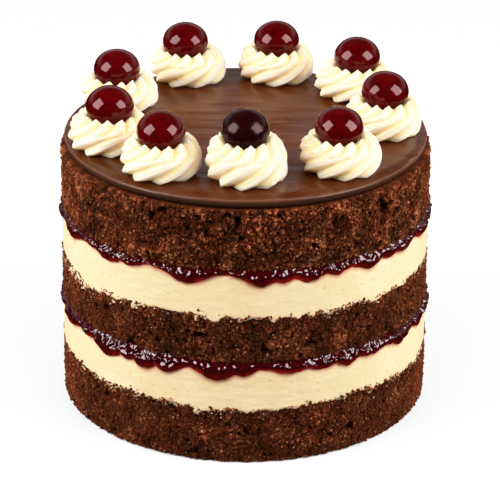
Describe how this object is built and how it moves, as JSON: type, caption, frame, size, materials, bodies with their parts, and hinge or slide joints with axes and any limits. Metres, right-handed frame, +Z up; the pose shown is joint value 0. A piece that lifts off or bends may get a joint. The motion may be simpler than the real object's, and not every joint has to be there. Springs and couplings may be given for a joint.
{
  "type": "black forest cake",
  "caption": "Tall round black forest cake: chocolate sponges, cream and cherry jam layers, a chocolate ganache top, and piped cream swirls with cherries.",
  "frame": {"origin": "centre of the cake's underside, on the surface it stands on", "axes": "+Z up; the cake's front faces -Y, and +X is on its right as the front is looked at"},
  "size_m": [0.1824, 0.1824, 0.1696],
  "materials": {
    "sponge": "open porous crumb, dry and matte",
    "cream": "smooth soft cream, satin",
    "jam": "wet glossy dark red jam",
    "ganache": "satin spread chocolate",
    "piped_cream": "whipped cream, soft satin",
    "cherry": "wet glossy dark red fruit"
  },
  "bodies": {
    "root": {"sponge_bottom": "sponge", "cream_lower": "cream", "jam_lower": "jam", "sponge_middle": "sponge", "cream_upper": "cream", "jam_upper": "jam", "sponge_top": "sponge", "ganache": "ganache", "rosette_front": "piped_cream", "rosette_front_right": "piped_cream", "rosette_right": "piped_cream", "rosette_right_back": "piped_cream", "rosette_back": "piped_cream", "rosette_back_left": "piped_cream", "rosette_left_back": "piped_cream", "rosette_left": "piped_cream", "rosette_front_left": "piped_cream", "cherry_front": "cherry", "cherry_front_right": "cherry", "cherry_right": "cherry", "cherry_right_back": "cherry", "cherry_back": "cherry", "cherry_back_left": "cherry", "cherry_left_back": "cherry", "cherry_left": "cherry", "cherry_front_left": "cherry"}
  },
  "joints": []
}
